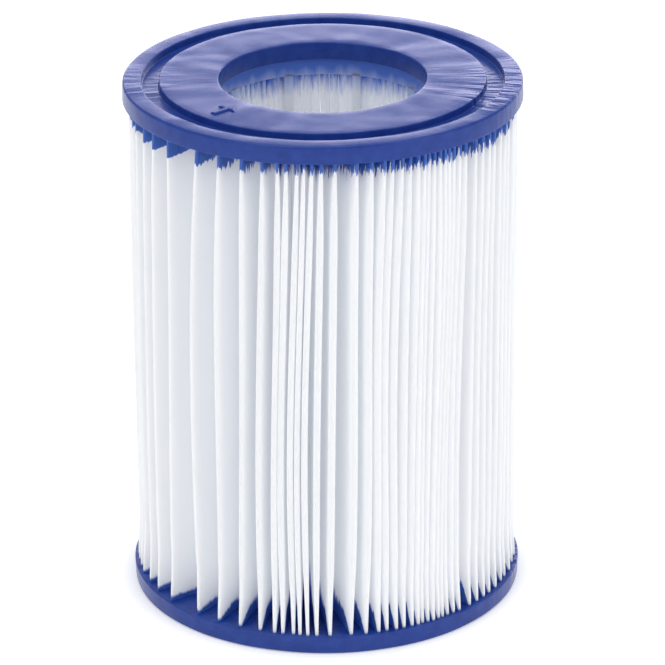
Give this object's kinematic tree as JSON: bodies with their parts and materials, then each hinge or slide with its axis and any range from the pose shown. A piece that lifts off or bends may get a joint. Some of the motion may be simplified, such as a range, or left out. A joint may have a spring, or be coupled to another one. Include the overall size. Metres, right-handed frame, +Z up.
{
  "type": "filter cartridge",
  "caption": "Upright pleated filter cartridge with blue cast end caps, a wide central hole and a white pleated sheet held between them.",
  "frame": {"origin": "centre of the bottom face of the lower end cap", "axes": "+Z up along the cartridge's axis; the two ends are alike except for the raised flow mark on the upper one"},
  "size_m": [0.106, 0.106, 0.1443],
  "materials": {
    "cap_resin": "cast polyurethane, semi-gloss, self-levelled in an open mould",
    "media": "spun-bonded polyester non-woven, matt, with resin drawn up into the potted ends",
    "adhesive": "hot-melt adhesive, milky, soft sheen",
    "tube_plastic": "moulded natural polypropylene, slightly translucent"
  },
  "bodies": {
    "root": {"top_end_cap": "cap_resin", "bottom_end_cap": "cap_resin", "pleated_media": "media", "seam_bead": "adhesive", "support_tube": "tube_plastic"}
  },
  "joints": []
}
